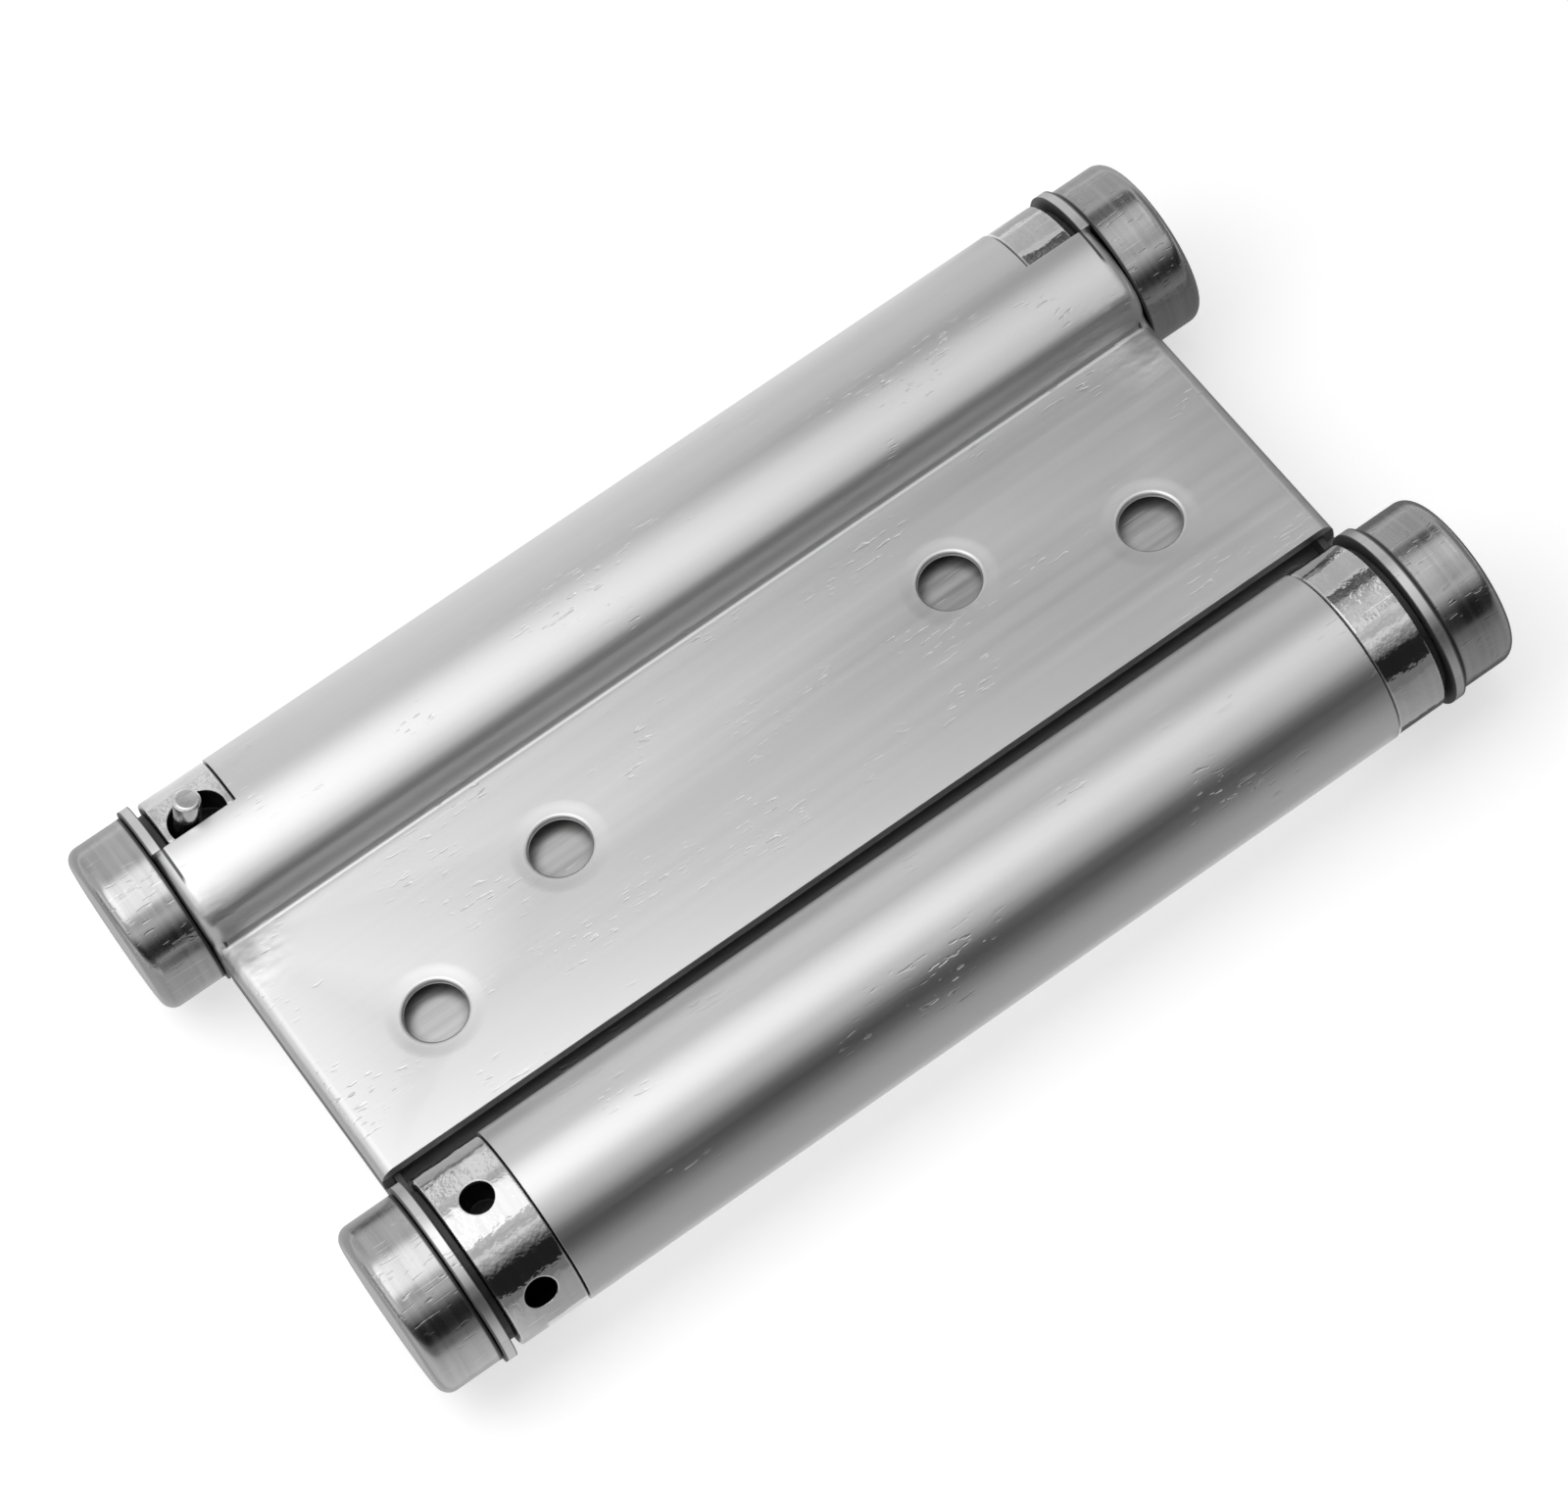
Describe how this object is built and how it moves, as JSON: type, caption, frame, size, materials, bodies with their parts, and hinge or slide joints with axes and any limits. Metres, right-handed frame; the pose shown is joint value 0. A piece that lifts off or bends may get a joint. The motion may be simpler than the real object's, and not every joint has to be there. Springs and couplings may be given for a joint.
{
  "type": "double-action spring hinge",
  "caption": "Closed two-way spring hinge: pressed steel leaves with rolled barrels, end caps, adjusting collars with tommy-bar holes and tension pins",
  "frame": {"origin": "Centre of the closed hinge, midway between the two barrels and between the two leaves.", "axes": "+X along the barrels from the adjusting collars to the fixed collars, +Y from barrel B to barrel A across the leaves, +Z out of the flat of leaf A, up as in the picture."},
  "size_m": [0.112, 0.063, 0.0218],
  "materials": {
    "leaf": "satin-brushed stainless steel, grain along the barrels",
    "collar": "turned and polished stainless steel",
    "cap": "turned stainless steel, brushed round the axis",
    "web": "plain cold-rolled stainless sheet",
    "spindle": "bright drawn steel rod",
    "pin": "cut and lightly chamfered steel pin",
    "spring": "oiled spring steel, flat wire"
  },
  "bodies": {
    "centre": {"web": "web", "spindle_a": "spindle", "spindle_b": "spindle", "fixed_collar_a": "collar", "fixed_collar_b": "collar", "drive_pin_a": "pin", "drive_pin_b": "pin", "cap_a_left": "cap", "cap_a_right": "cap", "cap_b_left": "cap", "cap_b_right": "cap", "spring_a": "spring", "spring_b": "spring"},
    "door_leaf": {"leaf_a": "leaf"},
    "jamb_leaf": {"leaf_b": "leaf"},
    "adjuster_a": {"adjusting_collar_a": "collar", "tension_pin_a": "pin"},
    "adjuster_b": {"adjusting_collar_b": "collar", "tension_pin_b": "pin"}
  },
  "joints": [
    {"name": "leaf_a_hinge", "type": "hinge", "parent": "centre", "child": "door_leaf", "pos_m": [0, 0.02275, 0], "axis": [-1, 0, 0], "range_deg": [0, 180], "stiffness_Nm_per_rad": 0.75, "springref_deg": -60.16, "deforming": ["spring_a"]},
    {"name": "leaf_b_hinge", "type": "hinge", "parent": "centre", "child": "jamb_leaf", "pos_m": [0, -0.02275, 0], "axis": [-1, 0, 0], "range_deg": [0, 180], "stiffness_Nm_per_rad": 0.75, "springref_deg": -60.16, "deforming": ["spring_b"]},
    {"name": "collar_a_turn", "type": "hinge", "parent": "door_leaf", "child": "adjuster_a", "pos_m": [-0.0447, 0.02275, 0], "axis": [-1, 0, 0], "range_deg": [0, 200], "stiffness_Nm_per_rad": 0.4, "springref_deg": -57.3},
    {"name": "collar_b_turn", "type": "hinge", "parent": "jamb_leaf", "child": "adjuster_b", "pos_m": [-0.0447, -0.02275, 0], "axis": [-1, 0, 0], "range_deg": [0, 200], "stiffness_Nm_per_rad": 0.4, "springref_deg": -57.3}
  ]
}
